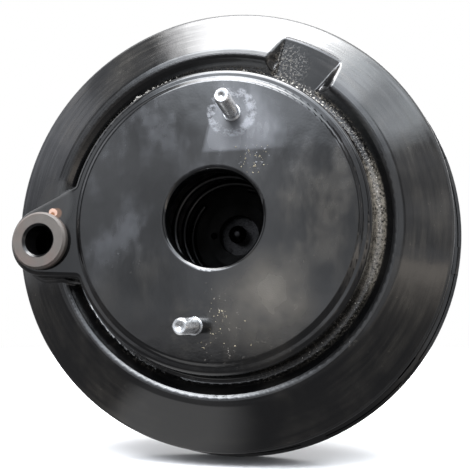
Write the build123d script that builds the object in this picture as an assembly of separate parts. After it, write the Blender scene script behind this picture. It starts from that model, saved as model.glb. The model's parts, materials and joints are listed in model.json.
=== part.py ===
from build123d import *
import math
import os

# Vacuum brake booster with one diaphragm, in millimetres.
# The piston axis is the Y axis. The front face, where a master cylinder bolts
# on, looks along -Y, and the input rod leaves along +Y. The origin is on the
# axis in the rear mounting face. +Z is up and +X is right, seen from the front.

# Pressed shells
SHEET = 1.6
BODY_DEPTH = 95.0
PRESS_RADIUS = 2.4

# How far a cut runs past the faces that it opens
MARGIN = 1.0

# Front shell, from the axis outwards: a flat plateau, a low step down to a
# ledge, a groove with sloping walls and a coned ring that ends at the rim
PLATEAU_R = 73.6
STEP_WIDTH = 1.6
STEP_DROP = 1.1
LEDGE_WIDTH = 4.4
GROOVE_SLOPE = 1.7
GROOVE_FLOOR = 4.3
GROOVE_DROP = 16.4
CROWN_SLOPE = 5.6
CROWN_DROP = 9.4
RING_WIDTH = 30.0
RIM_DROP = 22.5
SKIRT_FLARE = 1.4
FLANGE_WIDTH = 4.0
SEAM_DEPTH = 40.0

# Pilot hole with a lip turned inwards
PILOT_R = 25.4
PILOT_BEND = 2.6
PILOT_LENGTH = 8.0
PILOT_REST = 10.0

# Vacuum port boss, level with the ledge and joined to it by a bridge over the
# groove; the boss sits this share of the way from the crown to the rim
PORT_SHARE = 0.143
PORT_Z = -9.8
PORT_BOSS_R = 18.5
PORT_HOLE_R = 11.0
BRIDGE_ROOT_R = 24.0
BRIDGE_INSET = 21.6
BRIDGE_SPREAD = 8.0
BRIDGE_DRAFT = 8.0
BRIDGE_SINK = 12.0

# Flat pad pressed into the ring, level with the groove floor
PAD_ANGLE = 61.0
PAD_OUTER_WIDTH = 38.0
PAD_INNER_WIDTH = 22.0
PAD_START = 2.7
PAD_LEAD = 3.0
PAD_SHARE = 0.693
PAD_DRAFT = 40.0
PAD_HEIGHT = 14.0

# Studs, M8, drawn at the thread's outer diameter, with a wider pressed-in shank
STUD_R = 4.0
STUD_SHANK_R = 4.8
STUD_HEAD_R = 7.0
STUD_HEAD = 3.0
STUD_CHAMFER = 1.0
STUD_DIMPLE_R = 1.4
STUD_DIMPLE = 1.0
STUD_HOLE_CLEARANCE = 0.1
FRONT_STUD_INSET = 17.6
FRONT_STUD_ANGLE = 80.0
FRONT_STUD_LENGTH = 25.0
REAR_STUD_INSET_X = 26.0
REAR_STUD_INSET_Z = 30.0
REAR_STUD_LENGTH = 26.0

# Reinforcement plates inside the shells
PLATE = 2.3
FRONT_PLATE_R = 42.0
FRONT_PLATE_END_R = 12.0
FRONT_PLATE_GAP = 0.3
REAR_PLATE_IN_R = 30.0
REAR_PLATE_INSET = 2.0

# Rear shell: neck, mounting face, bowl and the rim that locks the seam
NECK_GAP = 7.0
NECK_LENGTH = 34.0
NECK_LIP_GAP = 1.5
MOUNT_FACE_R = 66.0
SHOULDER_INSET = 24.6
SHOULDER_DROP = 10.0
BOWL_INSET = 10.6
REAR_BEND = 3.0
BEAD = 4.0
RIM_GAP = 0.6
RIM_STEP = 1.0
TAB_COUNT = 12
TAB_WIDTH = 15.0
TAB_REACH = 3.6
TAB_GAP = 0.05
TAB_START = 9.0

# Vacuum port grommet
GROMMET_R = 15.5
GROMMET_BORE_R = 8.0
GROMMET_HEAD = 4.4
GROMMET_LIP_R = 13.4
GROMMET_LIP = 6.4
GROMMET_NOSE_R = 11.6
GROMMET_EDGE = 1.2

# Power piston: the moulded valve body that carries the diaphragm
REST_GAP = 2.1
NOSE_R = 20.0
NOSE_LENGTH = 6.0
HUB_R = 38.0
HUB_FLANGE = 4.0
HUB_GROOVE_R = 31.0
HUB_GROOVE = 6.5
HUB_SHOULDER_R = 34.0
HUB_SHOULDER = 3.5
TAIL_R = 19.0
TAIL_BORE_R = 15.5
TAIL_REACH = 1.0
ROD_BORE_R = 12.5
ROD_BORE_FLOOR = 6.0
SEAT_Y = 16.0
SEAT_IN_R = 11.4
SEAT_OUT_R = 13.6
SEAT_HEIGHT = 3.0
SEAT_RECESS = 6.0
VACUUM_HOLE_R = 2.2
VACUUM_HOLE_CIRCLE_R = 15.6
RUNNING = 0.05

# Reaction disc, output rod, whose tip is rounded by this share of its radius,
# and the washer that keeps it in
DISC_THICK = 7.0
DISC_CLEARANCE = 0.3
ROD_HEAD = 4.0
OUTPUT_ROD_R = 5.5
OUTPUT_TIP = 34.0
OUTPUT_TIP_SHARE = 0.9
WASHER = 1.0
WASHER_IN_R = 7.0
WASHER_SLOTS = 6
WASHER_SLOT = 2.0
WASHER_SLOT_DEPTH = 2.5

# Air valve plunger and its stop key
VALVE_TRAVEL = 2.4
PLUNGER_R = 6.0
PLUNGER_NECK_R = 4.0
PLUNGER_SEAT_R = 10.6
PLUNGER_SEAT = 3.5
PLUNGER_LIFT = 0.5
PLUNGER_GAP = 0.3
SOCKET_R = 8.0
SOCKET_LENGTH = 10.5
BALL_R = 5.5
BALL_DEPTH = 4.5
BALL_CLEARANCE = 0.05
SOCKET_MOUTH_R = 4.9
KEY = 2.4
KEY_Y = 4.6
KEY_WIDTH = 14.0
KEY_CLEARANCE = 0.2
KEY_OUT = 21.8
KEY_IN = 8.0
KEY_SLOT_GAP = 0.3

# Poppet valve, its retainer and the two small springs
POPPET_GAP = 0.05
POPPET_IN_R = 8.6
POPPET_OUT_R = 14.4
POPPET_FACE = 2.4
POPPET_SLEEVE = 1.2
POPPET_BEAD_Y = 29.0
POPPET_BEAD = 4.0
BORE_CLEARANCE = 0.1
RETAINER = 1.2
RETAINER_IN_R = 9.9
POPPET_SPRING_R = 12.0
POPPET_WIRE_R = 0.6
POPPET_TURNS = 3.0
INPUT_SPRING_R = 11.6
INPUT_WIRE_R = 0.9
INPUT_TURNS = 4.0
SEAT_GAP = 0.1

# Input rod, lock nut and clevis
ROD_NECK_R = 3.6
ROD_NECK_END = 31.0
ROD_R = 5.0
ROD_CONE = 3.0
ROD_COLLAR_GAP = 1.8
ROD_COLLAR_R = 13.0
ROD_COLLAR = 2.2
ROD_SHOWN = 7.0
ROD_IN_FORK = 4.0
THREAD_CLEARANCE = 0.05
NUT_ACROSS_FLATS = 16.0
NUT = 6.0
CLEVIS_BASE = 9.0
CLEVIS_GAP = 12.0
CLEVIS_EAR = 3.5
CLEVIS_PIN_R = 5.05
CLEVIS_LENGTH = 24.0
CLEVIS_END_R = 10.0
CLEVIS_CORNER = 3.0

# Return spring
SPRING_GAP = 1.0
SPRING_WIRE_R = 2.0
SPRING_TURNS = 3.5
SPRING_END_TURN = 300.0
SPRING_START_ANGLE = 40.0

# Diaphragm and its plate
DIAPHRAGM_PLATE = 1.4
DIAPHRAGM_FLAT_R = 70.0
DIAPHRAGM_PLATE_INSET = 23.1
DIAPHRAGM_PLATE_DROP = 10.0
DIAPHRAGM_PLATE_LIP = 6.0
DIAPHRAGM = 1.8
DIAPHRAGM_GAP = 0.3
DIAPHRAGM_ROLL_INSET = 13.6
DIAPHRAGM_ROLL_DROP = 7.0
DIAPHRAGM_BEAD_INSET = 5.6
DIAPHRAGM_HUB_R = 36.0

# Neck guide bush and seal
BUSH_Y = 7.4
BUSH_LENGTH = 12.6
SEAL_LIP = 5.0
SEAL_LIP_WALL = 1.6

# Air filter
FILTER_INSET = 0.6
FILTER_LENGTH = 11.4
FILTER_IN_R = 5.7

# Dust boot
BOOT = 1.6
BOOT_START = 16.0
BOOT_FOLDS = 5
BOOT_PEAK = 3.5
BOOT_VALLEY = 3.0
BOOT_NECK_INSET = 3.0
BOOT_FOLD_LENGTH = 8.4
BOOT_BEND = 1.9
BOOT_CAP = 3.0
BOOT_COLLAR = 9.0
BOOT_VENTS = 6
BOOT_VENT_R = 1.8
BOOT_VENT_CIRCLE_R = 13.0

# Radii and places across the axis that follow from the sizes above
LEDGE_R = PLATEAU_R + STEP_WIDTH + LEDGE_WIDTH
GROOVE_IN_R = LEDGE_R + GROOVE_SLOPE
GROOVE_OUT_R = GROOVE_IN_R + GROOVE_FLOOR
CROWN_R = GROOVE_OUT_R + CROWN_SLOPE
RIM_R = CROWN_R + RING_WIDTH
BRIDGE_ROOT_AT = LEDGE_R - BRIDGE_INSET
PORT_X = -CROWN_R - PORT_SHARE * RING_WIDTH
PAD_INNER_R = GROOVE_IN_R + PAD_START
PAD_REACH_R = CROWN_R + PAD_SHARE * RING_WIDTH
HOLE_R = STUD_SHANK_R + STUD_HOLE_CLEARANCE
FRONT_STUD_CIRCLE_R = PLATEAU_R - FRONT_STUD_INSET
REAR_STUD_X = MOUNT_FACE_R - REAR_STUD_INSET_X
REAR_STUD_Z = MOUNT_FACE_R - REAR_STUD_INSET_Z
REAR_PLATE_OUT_R = MOUNT_FACE_R - REAR_PLATE_INSET
NECK_R = TAIL_R + NECK_GAP
NECK_LIP_R = TAIL_R + NECK_LIP_GAP
SPRING_R = PILOT_R + SHEET + SPRING_GAP + SPRING_WIRE_R
BOOT_PEAK_R = NECK_R + BOOT_PEAK
BOOT_VALLEY_R = TAIL_R + BOOT_VALLEY
SKIRT_R = RIM_R + SKIRT_FLARE
FLANGE_R = SKIRT_R + FLANGE_WIDTH
SHOULDER_R = SKIRT_R - SHOULDER_INSET
BOWL_R = SKIRT_R - BOWL_INSET
DIAPHRAGM_PLATE_R = SKIRT_R - DIAPHRAGM_PLATE_INSET
DIAPHRAGM_ROLL_R = SKIRT_R - DIAPHRAGM_ROLL_INSET
DIAPHRAGM_BEAD_IN_R = SKIRT_R - DIAPHRAGM_BEAD_INSET

# Places along the axis that follow from the sizes above
PLATEAU_Y = -BODY_DEPTH
LEDGE_Y = PLATEAU_Y + STEP_DROP
GROOVE_Y = PLATEAU_Y + GROOVE_DROP
FLANGE_Y = -SEAM_DEPTH - SHEET
BEAD_BACK_Y = -SEAM_DEPTH + BEAD
REAR_RIM_R = FLANGE_R + RIM_GAP + SHEET
REAR_PLATE_Y = -SHEET - PLATE
TAIL_START_Y = REAR_PLATE_Y - REST_GAP
GROOVE_BACK_Y = TAIL_START_Y - HUB_SHOULDER
GROOVE_FRONT_Y = GROOVE_BACK_Y - HUB_GROOVE
PISTON_Y = GROOVE_FRONT_Y - HUB_FLANGE
NOSE_Y = PISTON_Y - NOSE_LENGTH
DISC_BACK_Y = -ROD_BORE_FLOOR
DISC_FRONT_Y = DISC_BACK_Y - DISC_THICK
ROD_HEAD_Y = DISC_FRONT_Y - ROD_HEAD
PLUNGER_SEAT_Y = SEAT_Y + PLUNGER_LIFT
BALL_Y = PLUNGER_SEAT_Y + BALL_DEPTH
POPPET_Y = PLUNGER_SEAT_Y + POPPET_GAP
FRONT_PLATE_Y = PLATEAU_Y + SHEET
SPRING_FRONT_Y = FRONT_PLATE_Y + PLATE
BOOT_FOLD_START = NECK_LENGTH - BOOT_NECK_INSET
BOOT_FOLD_END = BOOT_FOLD_START + BOOT_FOLDS * BOOT_FOLD_LENGTH
TAIL_END = BOOT_FOLD_END - TAIL_REACH
FILTER_Y = TAIL_END - FILTER_INSET - FILTER_LENGTH
ROD_COLLAR_Y = FILTER_Y - ROD_COLLAR_GAP - ROD_COLLAR
BOOT_END_Y = BOOT_FOLD_END + BOOT_CAP + BOOT_COLLAR
CLEVIS_Y = BOOT_END_Y + ROD_SHOWN + NUT
CLEVIS_PIN_Y = CLEVIS_Y + CLEVIS_LENGTH


def turned(*points):
    """A solid of revolution about the Y axis from a closed outline of (r, y)."""
    return revolve(make_face(Polyline(*points, close=True)), axis=Axis.Y)


def ring(inner, outer, start, end):
    """A plain ring about the Y axis."""
    return turned((inner, start), (outer, start), (outer, end), (inner, end))


def rod(radius, start, end):
    """A plain round bar on the Y axis."""
    return turned((0, start), (radius, start), (radius, end), (0, end))


def pressed(points, radii, thickness, side):
    """A sheet of one thickness turned about the Y axis along a rounded line."""
    line = FilletPolyline(*points, radius=radii)
    outline = line.offset_2d(thickness, side=side, closed=True)
    return revolve(make_face(outline), axis=Axis.Y)


def facing_front(y, angle=0.0):
    """A plane across the axis that looks to the front, turned about the axis."""
    turn = math.radians(angle)
    return Plane(origin=(0, y, 0), x_dir=(math.cos(turn), 0, math.sin(turn)), z_dir=(0, -1, 0))


def on_circle(radius, angle):
    """The X and Z of a point on a circle round the axis."""
    turn = math.radians(angle)
    return radius * math.cos(turn), radius * math.sin(turn)


def save(name, *solids):
    """Write one node from its separate solids."""
    shape = solids[0] if len(solids) == 1 else Compound(children=list(solids))
    export_step(shape, f"parts/{name}.step")


def front_line(inset):
    """Half section of the front shell's outer or inner face."""
    line = Polyline(
        (0, PLATEAU_Y),
        (PLATEAU_R, PLATEAU_Y),
        (PLATEAU_R + STEP_WIDTH, LEDGE_Y),
        (LEDGE_R, LEDGE_Y),
        (GROOVE_IN_R, GROOVE_Y),
        (GROOVE_OUT_R, GROOVE_Y),
        (CROWN_R, PLATEAU_Y + CROWN_DROP),
        (RIM_R, PLATEAU_Y + RIM_DROP),
        (SKIRT_R, FLANGE_Y),
        (FLANGE_R, FLANGE_Y),
    )
    if inset:
        line = line.offset_2d(inset, kind=Kind.INTERSECTION, side=Side.LEFT, closed=False)
    return line


def bridge_block(inset):
    """The raised block from the ledge to the port boss, with drafted sides."""
    port_angle = math.degrees(math.atan2(PORT_Z, PORT_X))
    boss = Pos(PORT_X, PORT_Z) * Circle(PORT_BOSS_R - inset)
    rounds = boss.edges()
    for angle in (port_angle, port_angle - BRIDGE_SPREAD):
        root = Pos(*on_circle(BRIDGE_ROOT_AT, angle)) * Circle(BRIDGE_ROOT_R - inset)
        rounds += root.edges()
    height = RIM_DROP + BRIDGE_SINK - STEP_DROP - inset
    return extrude(facing_front(LEDGE_Y + inset) * make_hull(rounds), amount=-height, taper=-BRIDGE_DRAFT)


def pad_block(inset):
    """What the pad takes out of the ring: a flat floor with flared sides."""
    draft = math.radians(PAD_DRAFT)
    spread = inset * (1 - math.sin(draft)) / math.cos(draft)
    near = PAD_INNER_WIDTH / 2 + spread
    far = PAD_OUTER_WIDTH / 2 + spread
    start = PAD_INNER_R - PAD_LEAD
    plan = Polygon((start, -near), (PAD_REACH_R, -far), (PAD_REACH_R, far), (start, near), align=None)
    floor = facing_front(GROOVE_Y + inset, PAD_ANGLE)
    block = extrude(floor * plan, amount=PAD_HEIGHT, taper=-PAD_DRAFT)
    return block - rod(PAD_INNER_R, PLATEAU_Y - PAD_HEIGHT, 0)


def front_form(inset):
    """The whole front of the shell as a filled body, inset by the sheet or not."""
    line = front_line(inset)
    ends = sorted((line @ 0, line @ 1), key=lambda point: point.X)
    back = BEAD_BACK_Y
    cap = Polyline((ends[1].X, ends[1].Y), (ends[1].X, back), (0, back), (ends[0].X, ends[0].Y))
    form = revolve(make_face(Curve() + line + cap), axis=Axis.Y)
    form = form + bridge_block(inset) - pad_block(inset)

    def pressed_edge(edge):
        box = edge.bounding_box()
        reach = max(abs(box.min.X), abs(box.max.X), abs(box.min.Z), abs(box.max.Z))
        middle = edge.center()
        seam = edge.geom_type == GeomType.LINE and abs(middle.Z) < 0.001 and middle.X > 0
        return reach < FLANGE_R - MARGIN and box.max.Y < back - MARGIN and not seam

    return fillet([edge for edge in form.edges() if pressed_edge(edge)], radius=PRESS_RADIUS)


def front_places():
    """The two places of the front studs, either side of the pilot hole."""
    return [on_circle(FRONT_STUD_CIRCLE_R, FRONT_STUD_ANGLE + turn) for turn in (0.0, 180.0)]


def rear_places():
    """The four places of the rear studs, in a rectangle."""
    return [(x, z) for x in (-REAR_STUD_X, REAR_STUD_X) for z in (-REAR_STUD_Z, REAR_STUD_Z)]


def front_shell():
    shell = front_form(0) - front_form(SHEET)
    rest_r = PILOT_R + PILOT_REST
    shell -= rod(rest_r, PLATEAU_Y - MARGIN, PLATEAU_Y + SHEET + MARGIN)
    lip_line = [(rest_r, PLATEAU_Y), (PILOT_R, PLATEAU_Y), (PILOT_R, PLATEAU_Y + PILOT_LENGTH)]
    shell += pressed(lip_line, PILOT_BEND, SHEET, Side.RIGHT)
    for x, z in front_places():
        shell -= Pos(x, 0, z) * rod(HOLE_R, PLATEAU_Y - MARGIN, FRONT_PLATE_Y + MARGIN)
    port_hole = rod(PORT_HOLE_R, LEDGE_Y - MARGIN, LEDGE_Y + SHEET + MARGIN)
    return shell - Pos(PORT_X, 0, PORT_Z) * port_hole


def front_reinforcement():
    ends = [Pos(x, z) * Circle(FRONT_PLATE_END_R) for x, z in front_places()]
    outline = make_hull(Circle(FRONT_PLATE_R).edges() + ends[0].edges() + ends[1].edges())
    plate = extrude(facing_front(SPRING_FRONT_Y) * outline, amount=PLATE)
    clear_r = PILOT_R + PILOT_BEND + FRONT_PLATE_GAP
    plate -= rod(clear_r, FRONT_PLATE_Y - MARGIN, SPRING_FRONT_Y + MARGIN)
    for x, z in front_places():
        plate -= Pos(x, 0, z) * rod(HOLE_R, FRONT_PLATE_Y - MARGIN, SPRING_FRONT_Y + MARGIN)
    return plate


def stud(length):
    """A headed stud whose head sits at y = 0 and whose tip points along -Y."""
    grip = -SHEET - PLATE
    tip = grip - length
    return turned(
        (0, STUD_HEAD),
        (STUD_HEAD_R - STUD_CHAMFER, STUD_HEAD),
        (STUD_HEAD_R, STUD_HEAD - STUD_CHAMFER),
        (STUD_HEAD_R, 0),
        (STUD_SHANK_R, 0),
        (STUD_SHANK_R, grip),
        (STUD_R, grip),
        (STUD_R, tip + STUD_CHAMFER),
        (STUD_R - STUD_CHAMFER, tip),
        (STUD_DIMPLE_R, tip),
        (0, tip + STUD_DIMPLE),
    )


def front_studs():
    return [Pos(x, SPRING_FRONT_Y, z) * stud(FRONT_STUD_LENGTH) for x, z in front_places()]


def rear_studs():
    turned_back = Rot(0, 0, 180) * stud(REAR_STUD_LENGTH)
    return [Pos(x, REAR_PLATE_Y, z) * turned_back for x, z in rear_places()]


def vacuum_grommet():
    front = LEDGE_Y - GROMMET_HEAD
    inside = LEDGE_Y + SHEET
    body = turned(
        (GROMMET_BORE_R, front + GROMMET_EDGE),
        (GROMMET_BORE_R + GROMMET_EDGE, front),
        (GROMMET_R - GROMMET_EDGE, front),
        (GROMMET_R, front + GROMMET_EDGE),
        (GROMMET_R, LEDGE_Y),
        (PORT_HOLE_R, LEDGE_Y),
        (PORT_HOLE_R, inside),
        (GROMMET_LIP_R, inside),
        (GROMMET_NOSE_R, inside + GROMMET_LIP),
        (GROMMET_BORE_R, inside + GROMMET_LIP),
    )
    return Pos(PORT_X, 0, PORT_Z) * body


def rear_shell():
    fold_y = FLANGE_Y - TAB_GAP - SHEET
    line = [
        (NECK_LIP_R, NECK_LENGTH),
        (NECK_R, NECK_LENGTH),
        (NECK_R, 0),
        (MOUNT_FACE_R, 0),
        (SHOULDER_R, -SHOULDER_DROP),
        (BOWL_R, BEAD_BACK_Y + SHEET),
        (REAR_RIM_R, BEAD_BACK_Y + SHEET),
        (REAR_RIM_R, fold_y),
        (REAR_RIM_R - TAB_REACH, fold_y),
    ]
    shell = pressed(line, REAR_BEND - SHEET / 2, SHEET, Side.RIGHT)
    gaps = ring(REAR_RIM_R - TAB_REACH - SHEET, REAR_RIM_R + SHEET, fold_y - SHEET, -SEAM_DEPTH - RIM_STEP)
    reach = 2 * (TAB_REACH + SHEET + MARGIN)
    window = Pos(REAR_RIM_R, fold_y, 0) * Box(reach, reach, TAB_WIDTH)
    for step in range(TAB_COUNT):
        gaps -= Rot(0, TAB_START + step * 360.0 / TAB_COUNT, 0) * window
    shell -= gaps
    for x, z in rear_places():
        shell -= Pos(x, 0, z) * rod(HOLE_R, -SHEET - MARGIN, MARGIN)
    return shell


def rear_reinforcement():
    plate = ring(REAR_PLATE_IN_R, REAR_PLATE_OUT_R, REAR_PLATE_Y, -SHEET)
    for x, z in rear_places():
        plate -= Pos(x, 0, z) * rod(HOLE_R, REAR_PLATE_Y - MARGIN, 0)
    return plate


def power_piston():
    body = turned(
        (ROD_BORE_R, NOSE_Y),
        (NOSE_R, NOSE_Y),
        (NOSE_R, PISTON_Y),
        (HUB_R, PISTON_Y),
        (HUB_R, GROOVE_FRONT_Y),
        (HUB_GROOVE_R, GROOVE_FRONT_Y),
        (HUB_GROOVE_R, GROOVE_BACK_Y),
        (HUB_SHOULDER_R, GROOVE_BACK_Y),
        (HUB_SHOULDER_R, TAIL_START_Y),
        (TAIL_R, TAIL_START_Y),
        (TAIL_R, TAIL_END),
        (TAIL_BORE_R, TAIL_END),
        (TAIL_BORE_R, SEAT_Y - SEAT_HEIGHT),
        (SEAT_OUT_R, SEAT_Y - SEAT_HEIGHT),
        (SEAT_OUT_R, SEAT_Y),
        (SEAT_IN_R, SEAT_Y),
        (SEAT_IN_R, SEAT_Y - SEAT_RECESS),
        (PLUNGER_R + RUNNING, SEAT_Y - SEAT_RECESS),
        (PLUNGER_R + RUNNING, DISC_BACK_Y),
        (ROD_BORE_R, DISC_BACK_Y),
    )
    channel = rod(VACUUM_HOLE_R, NOSE_Y - MARGIN, SEAT_Y - SEAT_HEIGHT + MARGIN)
    for side in (-1, 1):
        body -= Pos(side * VACUUM_HOLE_CIRCLE_R, 0, 0) * channel
    slot_thick = KEY + 2 * KEY_CLEARANCE
    slot_top = KEY_IN + KEY_SLOT_GAP
    slot_height = slot_top + TAIL_R + MARGIN
    slot = Box(KEY_WIDTH + 2 * KEY_CLEARANCE, slot_thick, slot_height)
    return body - Pos(0, KEY_Y + KEY / 2, slot_top - slot_height / 2) * slot


def stop_key():
    height = KEY_IN + KEY_OUT
    plate = Pos(0, KEY_Y + KEY / 2, KEY_IN - height / 2) * Box(KEY_WIDTH, KEY, height)
    corners = plate.edges().filter_by(Axis.Y).sort_by(Axis.Z)[:2]
    plate = fillet(corners, radius=2 * KEY)
    opening_r = PLUNGER_NECK_R + KEY_CLEARANCE
    mouth = Pos(0, KEY_Y + KEY / 2, KEY_IN) * Box(2 * opening_r, 2 * KEY, 2 * KEY_IN)
    return plate - rod(opening_r, KEY_Y - KEY, KEY_Y + 2 * KEY) - mouth


def reaction_disc():
    return rod(ROD_BORE_R - DISC_CLEARANCE, DISC_FRONT_Y, DISC_BACK_Y)


def output_rod():
    head_r = ROD_BORE_R - DISC_CLEARANCE
    bar = rod(OUTPUT_ROD_R, -OUTPUT_TIP, ROD_HEAD_Y)
    tip = bar.edges().filter_by(GeomType.CIRCLE).sort_by(Axis.Y)[0]
    return fillet(tip, radius=OUTPUT_TIP_SHARE * OUTPUT_ROD_R) + rod(head_r, ROD_HEAD_Y, DISC_FRONT_Y)


def rod_retainer():
    washer = ring(WASHER_IN_R, ROD_BORE_R, ROD_HEAD_Y - WASHER, ROD_HEAD_Y)
    notch = Pos(ROD_BORE_R, ROD_HEAD_Y, 0) * Box(2 * WASHER_SLOT_DEPTH, 2 * WASHER + MARGIN, WASHER_SLOT)
    for step in range(WASHER_SLOTS):
        washer -= Rot(0, step * 360.0 / WASHER_SLOTS, 0) * notch
    return washer


def air_valve_plunger():
    nose = DISC_BACK_Y + VALVE_TRAVEL + PLUNGER_GAP
    neck_start = KEY_Y - KEY_CLEARANCE / 2
    neck_end = KEY_Y + KEY + VALVE_TRAVEL + KEY_CLEARANCE
    seat_front = PLUNGER_SEAT_Y - PLUNGER_SEAT
    end = PLUNGER_SEAT_Y + SOCKET_LENGTH
    body = turned(
        (0, nose),
        (PLUNGER_R, nose),
        (PLUNGER_R, neck_start),
        (PLUNGER_NECK_R, neck_start),
        (PLUNGER_NECK_R, neck_end),
        (PLUNGER_R, neck_end),
        (PLUNGER_R, seat_front),
        (PLUNGER_SEAT_R, seat_front),
        (PLUNGER_SEAT_R, PLUNGER_SEAT_Y),
        (SOCKET_R, PLUNGER_SEAT_Y),
        (SOCKET_R, end),
        (0, end),
    )
    body -= rod(SOCKET_MOUTH_R, BALL_Y, end + MARGIN)
    return body - Pos(0, BALL_Y, 0) * Sphere(BALL_R + BALL_CLEARANCE)


def poppet_valve():
    back = POPPET_Y + POPPET_FACE
    sleeve_r = POPPET_IN_R + POPPET_SLEEVE
    bead_r = TAIL_BORE_R - BORE_CLEARANCE
    return turned(
        (POPPET_IN_R, POPPET_Y),
        (POPPET_OUT_R, POPPET_Y),
        (POPPET_OUT_R, back),
        (sleeve_r, back),
        (sleeve_r, POPPET_BEAD_Y),
        (bead_r, POPPET_BEAD_Y),
        (bead_r, POPPET_BEAD_Y + POPPET_BEAD),
        (POPPET_IN_R, POPPET_BEAD_Y + POPPET_BEAD),
    )


def poppet_retainer():
    front = POPPET_BEAD_Y + POPPET_BEAD
    wall_r = TAIL_BORE_R - BORE_CLEARANCE
    line = [(RETAINER_IN_R, front), (wall_r, front), (wall_r, front + POPPET_BEAD)]
    return pressed(line, RETAINER * 1.5, RETAINER, Side.LEFT)


def coil(radius, wire_r, start, end, turns):
    """An open coil spring about the Y axis."""
    height = end - start - 2 * wire_r
    path = Helix(pitch=height / turns, height=height, radius=radius)
    section = Plane(origin=path @ 0, z_dir=path % 0) * Circle(wire_r)
    spring = sweep(section, path=path, is_frenet=True)
    return Pos(0, start + wire_r, 0) * Rot(-90, 0, 0) * spring


def return_spring():
    """An open coil between two flat end turns."""
    first = SPRING_FRONT_Y + SPRING_WIRE_R
    last = PISTON_Y - SPRING_WIRE_R
    height = last - first
    path = Helix(pitch=height / SPRING_TURNS, height=height, radius=SPRING_R)
    section = Plane(origin=path @ 0, z_dir=path % 0) * Circle(SPRING_WIRE_R)
    spring = Pos(0, first, 0) * Rot(-90, 0, 0) * sweep(section, path=path, is_frenet=True)
    flat = Pos(SPRING_R, 0) * Circle(SPRING_WIRE_R)
    turn = revolve(flat, axis=Axis.Y, revolution_arc=SPRING_END_TURN)
    ball = Pos(SPRING_R, 0, 0) * Sphere(SPRING_WIRE_R)
    end_angle = 360.0 * SPRING_TURNS
    front_turn = Pos(0, first, 0) * (turn + ball)
    back_turn = Pos(0, last, 0) * Rot(0, -end_angle, 0) * (Rot(0, -SPRING_END_TURN, 0) * turn + ball)
    return Rot(0, SPRING_START_ANGLE, 0) * (spring + front_turn + back_turn)


def plate_line(start_r, y):
    """The line of the diaphragm plate's front face, from the hub to its edge."""
    edge_y = y - DIAPHRAGM_PLATE_DROP
    return [(start_r, y), (DIAPHRAGM_FLAT_R, y), (DIAPHRAGM_PLATE_R, edge_y)]


def diaphragm_plate():
    line = plate_line(HUB_GROOVE_R, GROOVE_FRONT_Y)
    line.append((DIAPHRAGM_PLATE_R, line[-1][1] - DIAPHRAGM_PLATE_LIP))
    return pressed(line, REAR_BEND, DIAPHRAGM_PLATE, Side.LEFT)


def diaphragm():
    y = GROOVE_FRONT_Y + DIAPHRAGM_PLATE + DIAPHRAGM_GAP
    hub_r = HUB_GROOVE_R + DIAPHRAGM_GAP
    line = plate_line(hub_r, y)
    wrap_r = DIAPHRAGM_PLATE_R + DIAPHRAGM_PLATE + 2 * DIAPHRAGM_GAP
    line[-1] = (wrap_r, line[-1][1])
    roll_y = -SEAM_DEPTH - DIAPHRAGM_ROLL_DROP
    bead_y = -SEAM_DEPTH + BEAD / 2
    line += [(DIAPHRAGM_ROLL_R, roll_y), (DIAPHRAGM_BEAD_IN_R + BEAD / 2, bead_y)]
    sheet = pressed(line, REAR_BEND, DIAPHRAGM, Side.LEFT)
    bead = ring(DIAPHRAGM_BEAD_IN_R, FLANGE_R - DIAPHRAGM_GAP, -SEAM_DEPTH, BEAD_BACK_Y)
    hub_bead = ring(hub_r, DIAPHRAGM_HUB_R, y, GROOVE_BACK_Y - DIAPHRAGM_GAP)
    return sheet + bead + hub_bead


def guide_bush():
    return ring(TAIL_R + RUNNING, NECK_R - SHEET, BUSH_Y, BUSH_Y + BUSH_LENGTH)


def neck_seal():
    start = BUSH_Y + BUSH_LENGTH
    end = NECK_LENGTH - SHEET
    lip_r = TAIL_R + RUNNING
    groove_r = lip_r + SEAL_LIP_WALL
    outer = NECK_R - SHEET
    return turned(
        (lip_r, start),
        (groove_r, start),
        (groove_r, start + SEAL_LIP),
        (outer - SEAL_LIP_WALL, start + SEAL_LIP),
        (outer - SEAL_LIP_WALL, start),
        (outer, start),
        (outer, end - REAR_BEND),
        (outer - REAR_BEND, end),
        (lip_r, end),
    )


def input_rod():
    shank_start = ROD_NECK_END + ROD_CONE
    tip = CLEVIS_Y + CLEVIS_BASE + ROD_IN_FORK
    bar = turned(
        (0, BALL_Y),
        (ROD_NECK_R, BALL_Y),
        (ROD_NECK_R, ROD_NECK_END),
        (ROD_R, shank_start),
        (ROD_R, ROD_COLLAR_Y),
        (ROD_COLLAR_R, ROD_COLLAR_Y),
        (ROD_COLLAR_R, ROD_COLLAR_Y + ROD_COLLAR),
        (ROD_R, ROD_COLLAR_Y + ROD_COLLAR),
        (ROD_R, tip - STUD_CHAMFER),
        (ROD_R - STUD_CHAMFER, tip),
        (0, tip),
    )
    return bar + Pos(0, BALL_Y, 0) * Sphere(BALL_R)


def lock_nut():
    flats = RegularPolygon(radius=NUT_ACROSS_FLATS / 2, side_count=6, major_radius=False)
    nut = extrude(facing_front(CLEVIS_Y) * flats, amount=NUT)
    corner_r = NUT_ACROSS_FLATS / 2 / math.cos(math.radians(30))
    start = CLEVIS_Y - NUT
    slope = corner_r - NUT_ACROSS_FLATS / 2
    barrel = turned(
        (0, start),
        (NUT_ACROSS_FLATS / 2, start),
        (corner_r, start + slope / 2),
        (corner_r, CLEVIS_Y - slope / 2),
        (NUT_ACROSS_FLATS / 2, CLEVIS_Y),
        (0, CLEVIS_Y),
    )
    return (nut & barrel) - rod(ROD_R + THREAD_CLEARANCE, start - MARGIN, CLEVIS_Y + MARGIN)


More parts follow.
